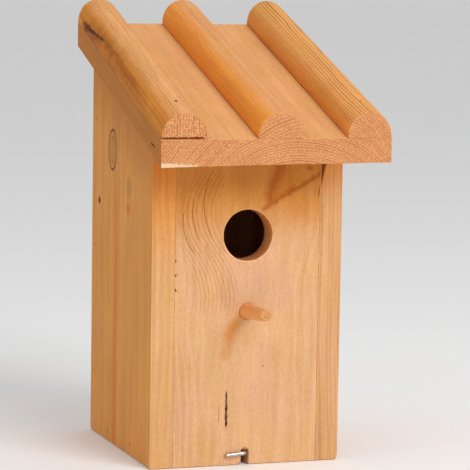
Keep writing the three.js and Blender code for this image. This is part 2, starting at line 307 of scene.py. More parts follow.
def any_of(*masks):
    """The strongest of several marks that share one colour."""

    def mask(a, g, edges):
        most = masks[0](a, g, edges)
        for other in masks[1:]:
            most = most.at_least(other(a, g, edges))
        return most

    return mask


def knot(across, along, half_width, half_length, strength=1.0):
    """The marks of a sound knot: a brown disc with a dark rim and its own growth rings."""

    def fainter(*colour):
        return tuple(255 - (255 - c) * strength for c in colour)

    def disc(share, **look):
        return patch(across, along, half_width * share, half_length * share, **look)

    loops = [ring(across, along, half_width * r, half_length * r, 0.05 / r) for r in (0.78, 0.5, 0.25)]
    rim = ring(across + half_width * 0.06, along, half_width, half_length, 0.12, wander=0.1)
    return [
        (disc(1.9, soft=0.9, ragged=0.1), fainter(240, 222, 198)),
        (disc(1.0, soft=0.3), fainter(228, 204, 176)),
        (any_of(*loops), fainter(222, 194, 160)),
        (rim, fainter(176, 134, 98)),
        (disc(0.14, soft=0.8), fainter(170, 124, 88)),
    ]


# ------------------------------------------------------------------ stained softwood

TAN_LIGHT, TAN_DARK = (218, 170, 124), (198, 138, 86)
SIDE_LIGHT, SIDE_DARK = (220, 164, 108), (196, 130, 72)
ROOF_LIGHT, ROOF_DARK = (230, 168, 107), (208, 140, 80)
BAR_LIGHT, BAR_DARK = (237, 151, 57), (200, 110, 36)
END_LIGHT, END_DARK = (213, 150, 100), (184, 105, 56)


def around_knots(a, g, knots):
    """The place across the grain, pushed aside where the grain flows round a knot."""
    graph, bent = a.graph, a
    for across, along, half_width, half_length, push in knots:
        near = ((a - across) / half_width).squared() + ((g - along) / half_length).squared()
        bent = bent - (a - across) * push * graph.math("EXPONENT", near * -1)
    return bent


def growth_rings(graph, position, bent, b, pith, spacing, wander, seed):
    """Latewood from 0 to 1: lines round the pith, each ring with a strength of its own."""
    slow = graph.noise(position, (38, 38, 150), seed=seed)
    quick = graph.noise(position, (8, 8, 40), detail=3, seed=seed + 3)
    off_a, off_b = bent - pith[0], b - pith[1]
    radius = (off_a.squared() + off_b.squared()) ** 0.5 + slow * wander + quick * wander * 0.25
    rings = radius / spacing + graph.noise(position, (60, 60, 300), seed=seed + 5) * 0.6
    phase = graph.math("FRACT", rings)
    odd = graph.node("ShaderNodeTexWhiteNoise", {"W": graph.math("FLOOR", rings)}, noise_dimensions="1D")
    return phase.ramp(0.1, 0.8) * phase.ramp(1.0, 0.84) * (Value(graph, odd.outputs[0]) * 0.7 + 0.4)


def wood_noises(graph, position, seed):
    """The noises that colour and relief share, by what each one draws."""

    def drawn(number, size, detail, roughness=0.5):
        return graph.noise(position, size, detail, roughness, seed + number)

    return {
        "fibre": drawn(7, (0.8, 0.8, 24), 4, 0.7),
        "streak": drawn(9, (4, 4, 90), 2),
        "blotch": drawn(11, (24, 24, 40), 3),
        "pit": drawn(13, (0.4, 0.4, 4), 2, 0.6).ramp(0.75, 1.15),
        "pore": drawn(15, (0.9, 0.9, 0.9), 3, 0.75),
        "hue": drawn(17, (2.0, 2.0, 4), 5, 0.75),
        "cloud": drawn(19, (13, 13, 30), 2),
        "speckle": drawn(21, (0.7, 0.7, 1.6), 2, 0.8),
    }


def face_colour(graph, drawn, late, normal, light, dark, contrast, strength, crown, broad):
    """The stained faces. strength is (streaks, blotches, hues, grit)."""
    streaks, blotches, hues, grit = strength
    fibre, hue, cloud = drawn["fibre"], drawn["hue"], drawn["cloud"]
    ground = screen(*light)
    # crown: a painted highlight, the top paler where the normal turns towards crown[2]
    if crown:
        up = (graph.dot(normal, crown[2]) + cloud * 0.1).ramp(0.45, 1.0)
        ground = graph.mix(up * crown[1] * (fibre * 0.3 + 0.85), screen(*light), screen(*crown[0]))
    winter = [d / l for d, l in zip(screen(*dark), screen(*light))]
    side = graph.mix(late * contrast, ground, graph.mix(1.0, ground, winter, "MULTIPLY"))
    value = (fibre + drawn["streak"]) * streaks + drawn["blotch"] * blotches
    value = value + drawn["speckle"] * grit + 1.0 - drawn["pit"] * 0.06
    warm = value ** 1.25 + hue * hues * 0.35 + cloud * hues * 0.15
    cool = value ** 2.0 + hue * hues * 1.2 - cloud * hues * 0.9
    side = graph.mix(1.0, side, graph.combine(value + hue * hues * 0.1, warm, cool), "MULTIPLY")
    # broad: more stain on the faces across broad[0], the tint partly painted shade
    if broad:
        facing = abs(graph.dot(normal, broad[0])).ramp(0.8, 0.95)
        side = graph.mix(facing, side, graph.mix(1.0, side, screen(*broad[1]), "MULTIPLY"))
    return side


def end_colour(graph, drawn, late, light, dark, pore, blotches):
    """The sawn ends, where the rings show as arcs and the stain sinks into the pores."""
    cut = graph.mix(late * 0.8, screen(*light), screen(*dark))
    shade = drawn["pore"] * pore + drawn["blotch"] * blotches + 1.0
    return graph.mix(1.0, cut, graph.combine(shade, shade ** 1.3, shade ** 1.6), "MULTIPLY")


def softwood(
    name, grain, pith, light, dark, end_light=END_LIGHT, end_dark=END_DARK,
    spacing=2.2, contrast=0.3, wander=1.6, knots=(), marks=(), end_marks=(), seed=1.0,
    streaks=0.08, blotches=0.07, hues=0.16, grit=0.12, pore=0.5, shine=0.62, crown=None, broad=None,
):
    """Sawn, planed and stained softwood, solid all through: the same growth rings give the faces their
    flowing lines and the ends their arcs.

    grain is (across, through, along) as unit vectors. pith is where the tree's middle lies, in
    millimetres across and through. knots are (across, along, half width, half length, push): the grain
    flows round them. marks are (mask, colour to multiply by), and end_marks are (mask, colour) on the
    front end. streaks to pore say how strong each kind of unevenness is. crown is (colour, share,
    direction): a painted highlight on the top, where the face turns towards direction. broad is
    (direction, colour to multiply by): faces that took more stain, the tint partly painted shade.
    """
    graph = Graph(name)
    place = graph.vector_math("MULTIPLY", graph.coordinate("Object"), (1 / MM,) * 3)
    a, b, g = [graph.dot(place, axis) for axis in grain]
    position = graph.combine(a, b, g)
    normal = graph.coordinate("Normal")
    end = abs(graph.dot(normal, grain[2])).ramp(0.75, 0.9)

    late = growth_rings(graph, position, around_knots(a, g, knots), b, pith, spacing, wander, seed)
    drawn = wood_noises(graph, position, seed)
    strength = (streaks, blotches, hues, grit)
    side = face_colour(graph, drawn, late, normal, light, dark, contrast, strength, crown, broad)
    cut = end_colour(graph, drawn, late, end_light, end_dark, pore, blotches)

    relief = late * 0.3 + drawn["fibre"] * 0.25 - drawn["pit"] * 0.3
    edges = {"fine": graph.noise(position, (2.2, 2.2, 3), seed=seed), "through": b}
    edges["coarse"] = graph.noise(position, (7, 7, 9), seed=seed)
    for mask, tint in marks:
        share = mask(a, g, edges)
        side = graph.mix(share, side, graph.mix(1.0, side, screen(*tint), "MULTIPLY"))
        relief = relief - share * 0.2
    for mask, tint in end_marks:
        share = mask(a, b, edges) * g.ramp(60, 40)
        cut = graph.mix(share, cut, screen(*tint))

    colour = graph.mix(end, side, cut)
    relief = relief * (1.0 - end) + (late * 0.6 + drawn["pore"] * 0.7) * end
    rough = (drawn["fibre"] * 0.05 + drawn["blotch"] * 0.04 + shine).at_least(0.2) + end * 0.25
    return graph.finish(colour, rough, relief, 0.2 * MM, Specular_IOR_Level=0.15)


def metal(name, colour, roughness, scuff=0.15, metallic=1.0, seed=0.0):
    """Plated, bare or stained-over steel with fine drawing marks and dull spots."""
    graph = Graph(name)
    place = graph.vector_math("MULTIPLY", graph.coordinate("Object"), (1 / MM,) * 3)
    drawn = graph.noise(place, (1.6, 0.3, 0.3), detail=3, seed=seed)
    dull = graph.noise(place, (2.5, 2.5, 2.5), detail=3, seed=seed + 2)
    value = drawn * scuff * 0.5 + dull * scuff + 1.0
    tinted = graph.mix(1.0, screen(*colour), graph.combine(value, value, value), "MULTIPLY")
    rough = (dull * 0.1 + roughness).at_least(0.08)
    return graph.finish(tinted, rough, drawn, 0.03 * MM, Metallic=metallic)


# ------------------------------------------------------------------ meshes


def link(name, mesh, material, body, slot, *nodes):
    """Puts a finished mesh in the scene, in place of CAD nodes."""
    piece = bpy.data.objects.new(name, mesh)
    bpy.context.scene.collection.objects.link(piece)
    mesh.materials.clear()
    mesh.materials.append(material)
    for polygon in mesh.polygons:
        polygon.use_smooth = True
    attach(piece, body)
    if nodes:
        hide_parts(*nodes)
    return piece


def mesh_from(name, vertices, faces):
    mesh = bpy.data.meshes.new(name)
    mesh.from_pydata([tuple(v) for v in vertices], [], faces)
    made = bmesh.new()
    made.from_mesh(mesh)
    bmesh.ops.recalc_face_normals(made, faces=made.faces)
    made.to_mesh(mesh)
    made.free()
    return mesh


def uneven(point, amount, size, seed):
    """A small move that makes a surface look worked by hand."""
    at = point / size + Vector((seed, seed * 1.3, seed * 0.7))
    return noise.noise_vector(at) * amount


def ticks(low, high, radius, step):
    """Grid lines from low to high: close together where the edges round over."""
    half_turn = math.tan(math.radians(22.5))
    start = [low, low + radius * (1 - half_turn)]
    end = [high - radius * (1 - half_turn), high]
    count = max(1, round((high - low - 2 * radius) / step))
    middle = [low + radius + (high - low - 2 * radius) * i / count for i in range(count + 1)]
    return start + middle + end


def slab(name, low, high, radius, steps, shape=None, seed=0.0, amount=0.1 * MM):
    """A board with rounded arrises and slightly uneven faces. shape moves each point afterwards."""
    lines = [ticks(low[i], high[i], radius, steps[i]) for i in range(3)]
    last = [len(line) - 1 for line in lines]
    vertices, index = [], {}

    def vertex(key):
        if key not in index:
            point = Vector([lines[i][key[i]] for i in range(3)])
            inner = Vector([min(max(point[i], low[i] + radius), high[i] - radius) for i in range(3)])
            point = inner + (point - inner).normalized() * radius
            point += uneven(point, amount, 14 * MM, seed) + uneven(point, amount * 0.5, 4 * MM, seed + 9)
            index[key] = len(vertices)
            vertices.append(shape(point) if shape else point)
        return index[key]

    faces = []
    for axis in range(3):
        u, v = [i for i in range(3) if i != axis]
        for edge in (0, last[axis]):
            for i in range(last[u]):
                for j in range(last[v]):
                    corners = []
                    for di, dj in ((0, 0), (1, 0), (1, 1), (0, 1)):
                        key = [0, 0, 0]
                        key[axis], key[u], key[v] = edge, i + di, j + dj
                        corners.append(vertex(tuple(key)))
                    faces.append(corners)
    return mesh_from(name, vertices, faces)


def skin(rows, segments):
    """Faces between rings of vertices. A row of one vertex is a point."""
    faces = []
    for near, far in zip(rows, rows[1:]):
        for i in range(segments):
            corners = [near[i % len(near)], near[(i + 1) % len(near)]]
            corners += [far[(i + 1) % len(far)], far[i % len(far)]]
            faces.append(list(dict.fromkeys(corners)))
    return [face for face in faces if len(face) > 2]


def turned(name, profile, start, axis, segments=48, seed=None, amount=0.0, torn=None):
    """A turned solid. profile is a list of (distance along axis, radius), closed on the axis. torn is
    (distance along axis, amount): from there on the surface is rougher."""
    axis = axis.normalized()
    side = axis.orthogonal().normalized()
    other = axis.cross(side)
    vertices, rows = [], []
    for along, radius in profile:
        count = 1 if radius == 0 else segments
        row = []
        for i in range(count):
            angle = 2 * math.pi * i / segments
            point = start + axis * along + (side * math.cos(angle) + other * math.sin(angle)) * radius
            if seed is not None and radius:
                point += uneven(point, amount, 5 * MM, seed)
                if torn and along > torn[0]:
                    point += uneven(point, torn[1], 1.3 * MM, seed + 3)
            row.append(len(vertices))
            vertices.append(point)
        rows.append(row)
    return mesh_from(name, vertices, skin(rows, segments))


def prism(name, outline, low, high, axis):
    """A solid with a straight-sided outline in the two directions other than axis."""
    count = len(outline)
    vertices = []
    for level in (low, high):
        for first, second in outline:
            point = [first, second]
            point.insert(axis, level)
            vertices.append(point)
    faces = [list(range(count)), list(range(2 * count - 1, count - 1, -1))]
    faces += [[i, (i + 1) % count, (i + 1) % count + count, i + count] for i in range(count)]
    return mesh_from(name, vertices, faces)


def carve(mesh, cutters):
    """The mesh with the cutter meshes taken out of it."""
    holder = bpy.data.objects.new("holder", mesh)
    bpy.context.scene.collection.objects.link(holder)
    tools = []
    for cutter in cutters:
        tool = bpy.data.objects.new("cutter", cutter)
        bpy.context.scene.collection.objects.link(tool)
        tools.append(tool)
        step = holder.modifiers.new("cut", "BOOLEAN")
        step.operation, step.object, step.solver = "DIFFERENCE", tool, "EXACT"
    result = bpy.data.meshes.new_from_object(holder.evaluated_get(bpy.context.evaluated_depsgraph_get()))
    result.name = mesh.name
    for thing in [holder, *tools]:
        data = thing.data
        bpy.data.objects.remove(thing)
        bpy.data.meshes.remove(data)
    return result


def crisp(piece):
    """Shades the flat faces flat and lets only the rounded arrises turn the light."""
    step = piece.modifiers.new("flat faces", "WEIGHTED_NORMAL")
    step.weight, step.keep_sharp = 100, False
    return piece


def nail_seats(nodes, outward, deep=1.3 * MM, ease=0.03 * MM):
    """Cutters for the small seats that nail heads are driven into."""
    cutters = []
    for node in nodes:
        low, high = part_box(node)
        middle = (low + high) / 2
        radius = min(high[i] - low[i] for i in range(3)) / 2 + ease
        face = middle + outward * ((high - low).dot(Vector([abs(v) for v in outward])) / 2)
        start = face + outward * 2 * MM
        profile = [(0, 0), (0, radius), (2 * MM + deep, radius), (2 * MM + deep, 0)]
        cutters.append(turned("seat", profile, start, -outward, 20))
    return cutters


# ------------------------------------------------------------------ the wood's colours

UPRIGHT_DOOR = (X, Y, Z)
UPRIGHT_SIDE = (Y, X, Z)
LAID_FLOOR = (Y, Z, X)
UP_ROOF = (X, OFF_ROOF, UP_SLOPE)
ALONG_PEG = (X, Z, Y)

DEEP_SHADE = (110, 64, 28)
# a lighter tint for a worn arris, also a painted highlight
WORN_ARRIS_HIGHLIGHT = (268, 264, 262)
# the side boards' broad faces: more stain, their deeper colour partly painted shade
STAINED_AND_SHADED_FACE = ((1, 0, 0), (250, 230, 174))

cracks = [
    streak(-29.2, 165, 141, 187, 0.32, bow=0.0126), streak(-36.6, 160, 142, 170, 0.3, bow=0.0175),
    streak(-42.8, 154, 132, 163, 0.32, bow=0.0215),
]
# painted shade: the deep golden colour the door takes in the roof's shadow
PAINTED_ROOF_SHADE = (254, 226, 158)
# painted shadow: a soft fringe along the diagonal edge of the shade under the roof
diagonal_shadow_fringe = smear((14, 166), (30, 175), 2.6, soft=1.0)
door_marks = [
    # painted shade under the roof: the golden tint fading in above z 134 mm, then darker still above z 162
    # mm
    (above_line((-50, 134), (50, 134), 36.0), PAINTED_ROOF_SHADE),
    (above_line((-50, 162), (50, 162), 16.0), (238, 232, 216)),
    # painted shadow over the diagonal line at the door's top right
    (above_line((9, 160), (50, 183), 5.0, left_edge=(12.0, 9.0)), (249, 238, 206)),
    (smear((14, 170), (22, 192), 6.5, soft=1.0, ragged=0.3), (226, 200, 160)),
    (patch(40.6, 186.5, 3.6, 2.4, soft=0.9), (206, 210, 170)),
    # painted shadow: the dark diagonal edge of the shade, and its soft fringe
    (smear((10, 161.4), (50, 184), 2.6, soft=1.0, ragged=0.4), (222, 192, 150)),
    (any_of(diagonal_shadow_fringe, patch(13.5, 167, 3.5, 5.0, soft=0.9)), (246, 222, 188)),
    (patch(36, 160, 14, 16, soft=1.0), (250, 236, 226)),
    (ring(0, 97.2, 5.0, 5.0, 0.12), (242, 200, 150)),
    # painted shadow of the peg, trailing down and to the left, warmed near its root
    (smear((-8, 88), (-14, 70), 6.0, soft=1.0), (250, 232, 204)),
    (smear((-4, 94), (-13, 82), 5.5, soft=1.0), (260, 238, 200)),
    (comb(-33, 160, 17, 124, 194, 3.1, bow=0.016), (243, 230, 210)),
    (comb(-34, 140, 19, 90, 148, 2.7, bow=-0.012, lean=-0.85), (244, 231, 216)),
    (smear((47.5, 175), (46.3, 168.5), 0.5, soft=1.0), (150, 98, 58)),
    (any_of(*cracks), (184, 132, 82)),
    (any_of(streak(-17.6, 32, 25, 40, 0.3), patch(11.3, 62.3, 0.9, 0.8, soft=0.8)), (200, 150, 100)),
    # painted shade inside the open split above the notch
    (streak(-12.7, 35, 23, 48, 0.9, wobble=0.9, fade=3), (120, 66, 30)),
    # the door's right arris: a lighter line, both wear and painted highlight
    (patch(46.95, 90, 0.45, 84, soft=0.3, ragged=0.0), WORN_ARRIS_HIGHLIGHT),
    (ring(0, 145, 15.9, 15.9, 0.028, wander=0.004), (258, 230, 190)),
    (ring(0, 145, 16.45, 16.45, 0.028, wander=0.008), (280, 286, 300)),
    (patch(6, 108, 34, 26, soft=1.0), (247, 248, 260)),
    (patch(16, 70, 13, 16, soft=1.0), (243, 241, 240)),
    # painted light, lifting the roof's shade at the door's top right
    (patch(37, 184, 11, 6, soft=1.0), (257, 272, 294)),
]
door_wood = softwood(
    "door_wood", UPRIGHT_DOOR, (4, FRONT / MM + 70), TAN_LIGHT, TAN_DARK,
    spacing=2.6, contrast=0.32, wander=2.6, streaks=0.07,
    knots=[(6, 162, 36, 34, 0.95), (-26, 84, 18, 30, 0.5)], marks=door_marks, seed=2.0,
)
side_marks = [
    (patch(FRONT / MM, 100, 1.5, 300, soft=0.9, ragged=0.0), (247, 252, 257)),
    (patch(FRONT / MM, 200, 1.5, 92, soft=0.9, ragged=0.0), (275, 240, 164)),
    # painted shade under the roof, along the side's sloping top
    (above_line((FRONT / MM, 156), (BACK / MM, 203), 40.0), (231, 223, 207)),
    # painted highlight along the outer arris of the side's front edge
    (on_edge(FRONT / MM, streak(-62.2, 90, -40, 240, 0.55, wobble=0.05), 0.6), (270, 272, 282)),
    (streak(38, 90, -40, 182, 8.0, wobble=0.8, fade=30), (250, 222, 200)),
    (patch(76.9, 157, 4.6, 4.6, soft=0.9, ragged=0.15), (216, 186, 150)),
    (patch(76.9, 157, 2.6, 2.8, soft=0.5, ragged=0.2), DEEP_SHADE),
    (patch(46.5, 192.6, 9.6, 13.0, soft=0.35, ragged=0.05), (232, 234, 232)),
    (ring(46.5, 192.6, 9.2, 12.8, 0.12), (150, 112, 78)),
    (ring(46.5, 192.6, 5.6, 8.2, 0.10), (222, 206, 178)),
    (patch(8.8, 171, 7.5, 10.0, soft=0.6, ragged=0.1), (226, 230, 232)),
    (patch(10, 157, 8.0, 7.0, soft=0.9), (246, 208, 178)),
]
side_left_wood = softwood(
    "side_left_wood", UPRIGHT_SIDE, (20, -110), SIDE_LIGHT, SIDE_DARK,
    spacing=2.6, contrast=0.34, wander=2.4, broad=STAINED_AND_SHADED_FACE, streaks=0.09, hues=0.18,
    knots=[(46.5, 192.5, 26, 32, 0.6), (8.8, 171, 18, 20, 0.5)], marks=side_marks, seed=4.0,
)
side_right_wood = softwood(
    "side_right_wood", UPRIGHT_SIDE, (-14, 10), (212, 159, 110), (186, 124, 78),
    spacing=2.4, contrast=0.45, wander=2.0, broad=STAINED_AND_SHADED_FACE, seed=6.0, streaks=0.12,
    knots=[(30, 90, 24, 34, 0.7)],
    # the first mark is painted light that lifts the roof's shade at the top of the front edge; the rest is a
    # knot
    marks=[(patch(FRONT / MM, 200, 1.5, 44, soft=0.9), (264, 238, 170)), *knot(30, 90, 6.0, 9.5, 0.7)],
)
back_wood = softwood(
    "back_wood", UPRIGHT_DOOR, (-10, 60), SIDE_LIGHT, SIDE_DARK,
    spacing=3.0, contrast=0.5, wander=2.6,
    knots=[(-18, 70, 22, 32, 0.75), (22, 150, 16, 24, 0.7)], seed=8.0,
    marks=[*knot(-18, 70, 6.0, 9.0, 0.8), *knot(22, 150, 4.0, 6.5, 0.6)],
)
floor_wood = softwood(
    "floor_wood", LAID_FLOOR, (30, -40), SIDE_LIGHT, SIDE_DARK, spacing=2.6, seed=10.0,
)
ROOF_FRONT_LOW, TORN = 213.6, (232, 196, 158)
roof_wood = softwood(
    "roof_wood", UP_ROOF, (14, 150), ROOF_LIGHT, ROOF_DARK,
    marks=[
        (streak(19.5, 40, -80, 200, 1.1, wobble=0.25, fade=12), (238, 216, 196)),
        (on_edge(-73.5, smear((218.1, -2.9), (218.9, -10.2), 0.9, soft=0.8, ragged=0.3)), (120, 70, 30)),
    ],
    # the broad tint darkens the board's two side faces: more stain, partly painted shade
    spacing=1.5, contrast=0.2, wander=1.0, seed=12.0, broad=((1, 0, 0), (203, 175, 112)),
    end_marks=[(smear((-75, ROOF_FRONT_LOW), (-52, ROOF_FRONT_LOW - 1), 2.0, soft=0.9, ragged=0.6), TORN)],
)
# painted highlights on the bars' crests
CREST_HIGHLIGHT = ((220, 164, 114), 0.8, Vector((0.3, -0.2, 1)).normalized())
LEFT_CREST_HIGHLIGHT = ((236, 176, 116), 0.85, Vector((0.2, -0.2, 1)).normalized())
RIGHT_CREST_HIGHLIGHT = ((238, 176, 106), 0.7, Vector((-0.12, -0.2, 1)).normalized())
batten_woods = {
    "left": softwood(
        "batten_left_wood", UP_ROOF, (-20, 236), (210, 132, 44), (166, 94, 32),
        pore=0.8, end_marks=[(smear((-74, 228.7), (-47, 228.7), 0.9, soft=0.7, ragged=0.6), (112, 40, 22))],
        spacing=1.7, contrast=0.35, wander=1.0, crown=LEFT_CREST_HIGHLIGHT, seed=14.0, streaks=0.14,
        marks=[
            (patch(-73.0, 148, 2.0, 30.0, soft=0.9, ragged=0.2), (206, 186, 160)),
            (smear((-73.2, 167), (-72.3, 152), 0.5, soft=1.0, ragged=0.4), (160, 138, 116)),
            (smear((-73.3, 162), (-71.5, 123), 0.65, soft=1.0, ragged=0.4), (136, 112, 92)),
            (patch(-72, 60, 3.0, 70.0, soft=1.0, ragged=0.3), (220, 196, 160)),
            (patch(-71, 118, 5.0, 62.0, soft=1.0, ragged=0.3), (216, 206, 184)),
        ],
    ),
    "middle": softwood(
        "batten_middle_wood", UP_ROOF, (20, 190), BAR_LIGHT, BAR_DARK,
        spacing=2.0, contrast=0.25, wander=1.0, crown=CREST_HIGHLIGHT, seed=16.0, streaks=0.1,
    ),
    "right": softwood(
        "batten_right_wood", UP_ROOF, (30, 196), (236, 160, 72), (178, 104, 44),
        spacing=1.45, contrast=1.0, wander=2.2, crown=RIGHT_CREST_HIGHLIGHT, seed=18.0,
    ),
}
peg_wood = softwood(
    "peg_wood", ALONG_PEG, (1.5, 96), (234, 164, 98), (214, 138, 74), (215, 154, 101), (198, 130, 80),
    spacing=1.3, contrast=0.3, wander=0.4, seed=20.0,
)
zinc = metal("zinc", (196, 186, 184), 0.22, seed=1.0)
steel = metal("steel", (150, 146, 142), 0.4, seed=5.0)
stained_steel = metal("stained_steel", (150, 104, 62), 0.55, seed=7.0)
waxed_steel = metal("waxed_steel", (220, 158, 100), 0.8, metallic=0.2, seed=9.0)

# ------------------------------------------------------------------ boards

ARRIS = 0.4 * MM
JOINT_ARRIS = 0.15 * MM  # where two boards meet in a tight joint
ROUGH_SAWN = 1.3 * MM
COARSE, FINE = 4 * MM, 1.2 * MM


def rounded_corner(point, corner, inward, radius):
    """Pulls a point near a corner, given in x and z, onto an arc. inward is the way to the board."""
    du, dw = (point.x - corner[0]) * inward, point.z - corner[1]
    if du >= radius or dw >= radius:
        return point
    gap = Vector((radius - du, radius - dw))
    if gap.length <= radius:
        return point
    gap *= radius / gap.length
    return Vector((corner[0] + (radius - gap.x) * inward, point.y, corner[1] + radius - gap.y))


def sloping_top(low, top, front):
    """A shape that cuts a board's top to the roof's slope. top is its height at the front."""

    def shape(point):
        share = (point.z - low) / (top - low)
        return Vector((point.x, point.y, point.z + share * (point.y - front) * SLOPE))

    return shape


def build_roof_board():
    low = Vector((roof_lo.x, EAVES, roof_lo.z))
    high = Vector((roof_hi.x, BACK, roof_lo.z + ROOF_PLUMB))
    droop, lift, torn = 1.3 * MM, 0.6 * MM, 0.22 * MM

    def shape(point):
        """Tears the front end's lower edge a little and lets it run out of level, as on a cupped board."""
        front = max(0.0, 1 - (point.y - EAVES) / (30 * MM))
        under = max(0.0, 1 - (point.z - low.z) / ROOF_PLUMB)
        across = (point.x - low.x) / (high.x - low.x)
        level = lift * across ** 3 - droop * (1 - across) ** 3
        edge = noise.noise(Vector((point.x / ROUGH_SAWN, 0, 7))) * torn
        lowest = max(0.0, 1 - (point.z - low.z) / (1.5 * MM)) * max(0.0, 1 - (point.y - EAVES) / (2 * MM))
        return point + Z * (rise(point.y) + level * front * under + edge * lowest)

    mesh = slab("roof_board_wood", low, high, JOINT_ARRIS, (FINE, COARSE, 2 * MM), shape, seed=1)
    crisp(link(mesh.name, mesh, roof_wood, "box", "roof_wood", "roof_board"))


BATTEN_ARRIS = 0.5 * MM
ROUND_STEPS, BASE_STEPS, LENGTH_STEPS = 40, 8, 48


def batten_section(half, height, foot):
    """The outline across a bar: up its right foot, round over its crown and back along its flat base."""
    edge = BATTEN_ARRIS
    section = [(half - edge, 0), (half, edge)]
    for i in range(ROUND_STEPS + 1):
        angle = math.pi * i / ROUND_STEPS
        section.append((half * math.cos(angle), foot + (height - foot) * math.sin(angle)))
    section += [(-half, edge), (-half + edge, 0)]
    base = 2 * half - 2 * edge
    section += [(-half + edge + base * i / BASE_STEPS, 0) for i in range(1, BASE_STEPS)]
    return section


def batten_stations():
    """Places along a bar, each with how far the outline is drawn in there to round off the ends."""
    easing = [(0, 2), (0.15, 1), (0.5, 0.4), (1, 0.13), (1.6, 0)]
    ends = [(y * BATTEN_ARRIS, inset * BATTEN_ARRIS * 0.5) for y, inset in easing]
    span = ROOF_DEPTH - 2 * ends[-1][0]
    rows = ends + [(ends[-1][0] + span * i / LENGTH_STEPS, 0) for i in range(1, LENGTH_STEPS)]
    return rows + [(ROOF_DEPTH - y, inset) for y, inset in reversed(ends)]


def capped(name, vertices, size):
    """A solid through rings of vertices, size to a ring, with a fan of faces at each end."""
    rows = len(vertices) // size
    faces = []
    for i in range(rows - 1):
        for j in range(size):
            k = (j + 1) % size
            faces.append([i * size + j, i * size + k, (i + 1) * size + k, (i + 1) * size + j])
    for start in (0, (rows - 1) * size):
        hub = sum((vertices[start + j] for j in range(size)), Vector()) / size
        vertices.append(hub)
        faces += [[start + j, start + (j + 1) % size, len(vertices) - 1] for j in range(size)]
    return mesh_from(name, vertices, faces)


def build_batten(side, close, hollow=0.0):
    """A half-round bar, its ends cut plumb. close lowers it to shut the gap beneath it, and hollow is
    how far its flat underside is planed away near its front end."""
    node = f"roof_batten_{side}"
    low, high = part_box(node)
    half = (batten_hi.x - batten_lo.x) / 2
    front_x, back_x = low.x + half, high.x - half
    if side == "middle":
        front_x, back_x = back_x, front_x
    height = high.z - low.z - ROOF_DEPTH * SLOPE
    foot = height - half / math.cos(PITCH)
    seed = {"left": 3, "middle": 5, "right": 7}[side]
    section = batten_section(half, height, foot)
    centre = height * 0.45
    vertices = []
    for along, inset in batten_stations():
        share = 1 - inset / half
        x = front_x + (back_x - front_x) * along / ROOF_DEPTH
        for u, v in section:
            lift = hollow * max(0.0, 1 - v / (2 * MM)) * max(0.0, 1 - along / (3 * MM))
            lift *= min(1.0, max(0.0, (half * 0.75 - u) / (4 * MM)))
            point = Vector((x + u * share, EAVES + along, low.z + centre + (v - centre) * share + lift))
            point += uneven(point, 0.16 * MM, 16 * MM, seed)
            point.z += rise(point.y) - close
            vertices.append(point)
    mesh = capped(f"roof_batten_{side}_wood", vertices, len(section))
    seats = nail_seats([f"batten_nail_{side}_{i}" for i in (1, 2)], OFF_ROOF)
    mesh = carve(mesh, seats)
    crisp(link(mesh.name, mesh, batten_woods[side], "box", "batten_wood", node))


def build_side(side):
    low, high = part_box(f"side_{side}")
    front_top = high.z - (BACK - FRONT) * SLOPE
    slope_top = sloping_top(low.z, front_top, FRONT)
    top = Vector((high.x, high.y, front_top))
    turn = -1 if side == "left" else 1
    outer = low.x if side == "left" else high.x
    worn = 1.0 * MM if side == "left" else 2.0 * MM

    def shape(point):
        return slope_top(rounded_corner(point, (outer, low.z), -turn, worn))

    steps = (COARSE / 4, COARSE, COARSE)
    mesh = slab(f"side_{side}_wood", low, top, JOINT_ARRIS, steps, shape, 12 + turn, 0.04 * MM)
    outward = X * turn
    nodes = [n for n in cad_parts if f"nail_{side}" in n and not n.startswith(("roof", "batten"))]
    cutters = nail_seats(nodes, outward)
    if side == "right":
        chip = [(1.0, 191.5), (4.4, 191.5), (3.5, 187.5), (2.2, 183), (1.5, 179), (1.0, 175), (0.8, 181)]
        outline = [(low.x + x * MM, z * MM) for x, z in chip]
        cutters.append(prism("chip", outline, FRONT - MM, FRONT + 5 * MM, 1))
    mesh = carve(mesh, cutters)
    wood = side_left_wood if side == "left" else side_right_wood
    crisp(link(mesh.name, mesh, wood, "box", "side_wood", f"side_{side}"))


def build_back():
    front_top = back_hi.z - BOARD * SLOPE
    slope_top = sloping_top(back_lo.z, front_top, back_lo.y)
    top = Vector((back_hi.x, back_hi.y, front_top))
    mesh = slab("back_board_wood", back_lo, top, ARRIS, (COARSE, COARSE, COARSE), slope_top, seed=17)
    strip_lo, strip_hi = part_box("hanger_strip")
    seat_ease = 1 * MM
    pocket_half, pocket_height, pocket_depth = 16.5 * MM, 14 * MM, 4.2 * MM
    middle = (strip_lo.z + strip_hi.z) / 2
    seat = [
        (strip_lo.x - seat_ease, strip_lo.z - seat_ease), (strip_hi.x + seat_ease, strip_lo.z - seat_ease),
        (strip_hi.x + seat_ease, strip_hi.z + seat_ease), (strip_lo.x - seat_ease, strip_hi.z + seat_ease),
    ]
    pocket = [
        (-pocket_half, middle - pocket_height / 2), (pocket_half, middle - pocket_height / 2),
        (pocket_half, middle + pocket_height / 2), (-pocket_half, middle + pocket_height / 2),
    ]
    cutters = [
        prism("seat", seat, strip_lo.y - 0.15 * MM, BACK + MM, 1),
        prism("pocket", pocket, BACK - pocket_depth, BACK + MM, 1),
    ]
    cutters += nail_seats(["floor_nail_rear_1", "floor_nail_rear_2"], Y)
    crisp(link(mesh.name, carve(mesh, cutters), back_wood, "box", "side_wood", "back_board"))


def build_floor():
    mesh = slab("floor_board_wood", floor_lo, floor_hi, ARRIS, (COARSE, COARSE, COARSE), seed=19)
    crisp(link(mesh.name, mesh, floor_wood, "box", "side_wood", "floor_board"))


DOOR_FIT = 0.42 * MM  # how much wider the door is on each side than in the frame, to close its joints


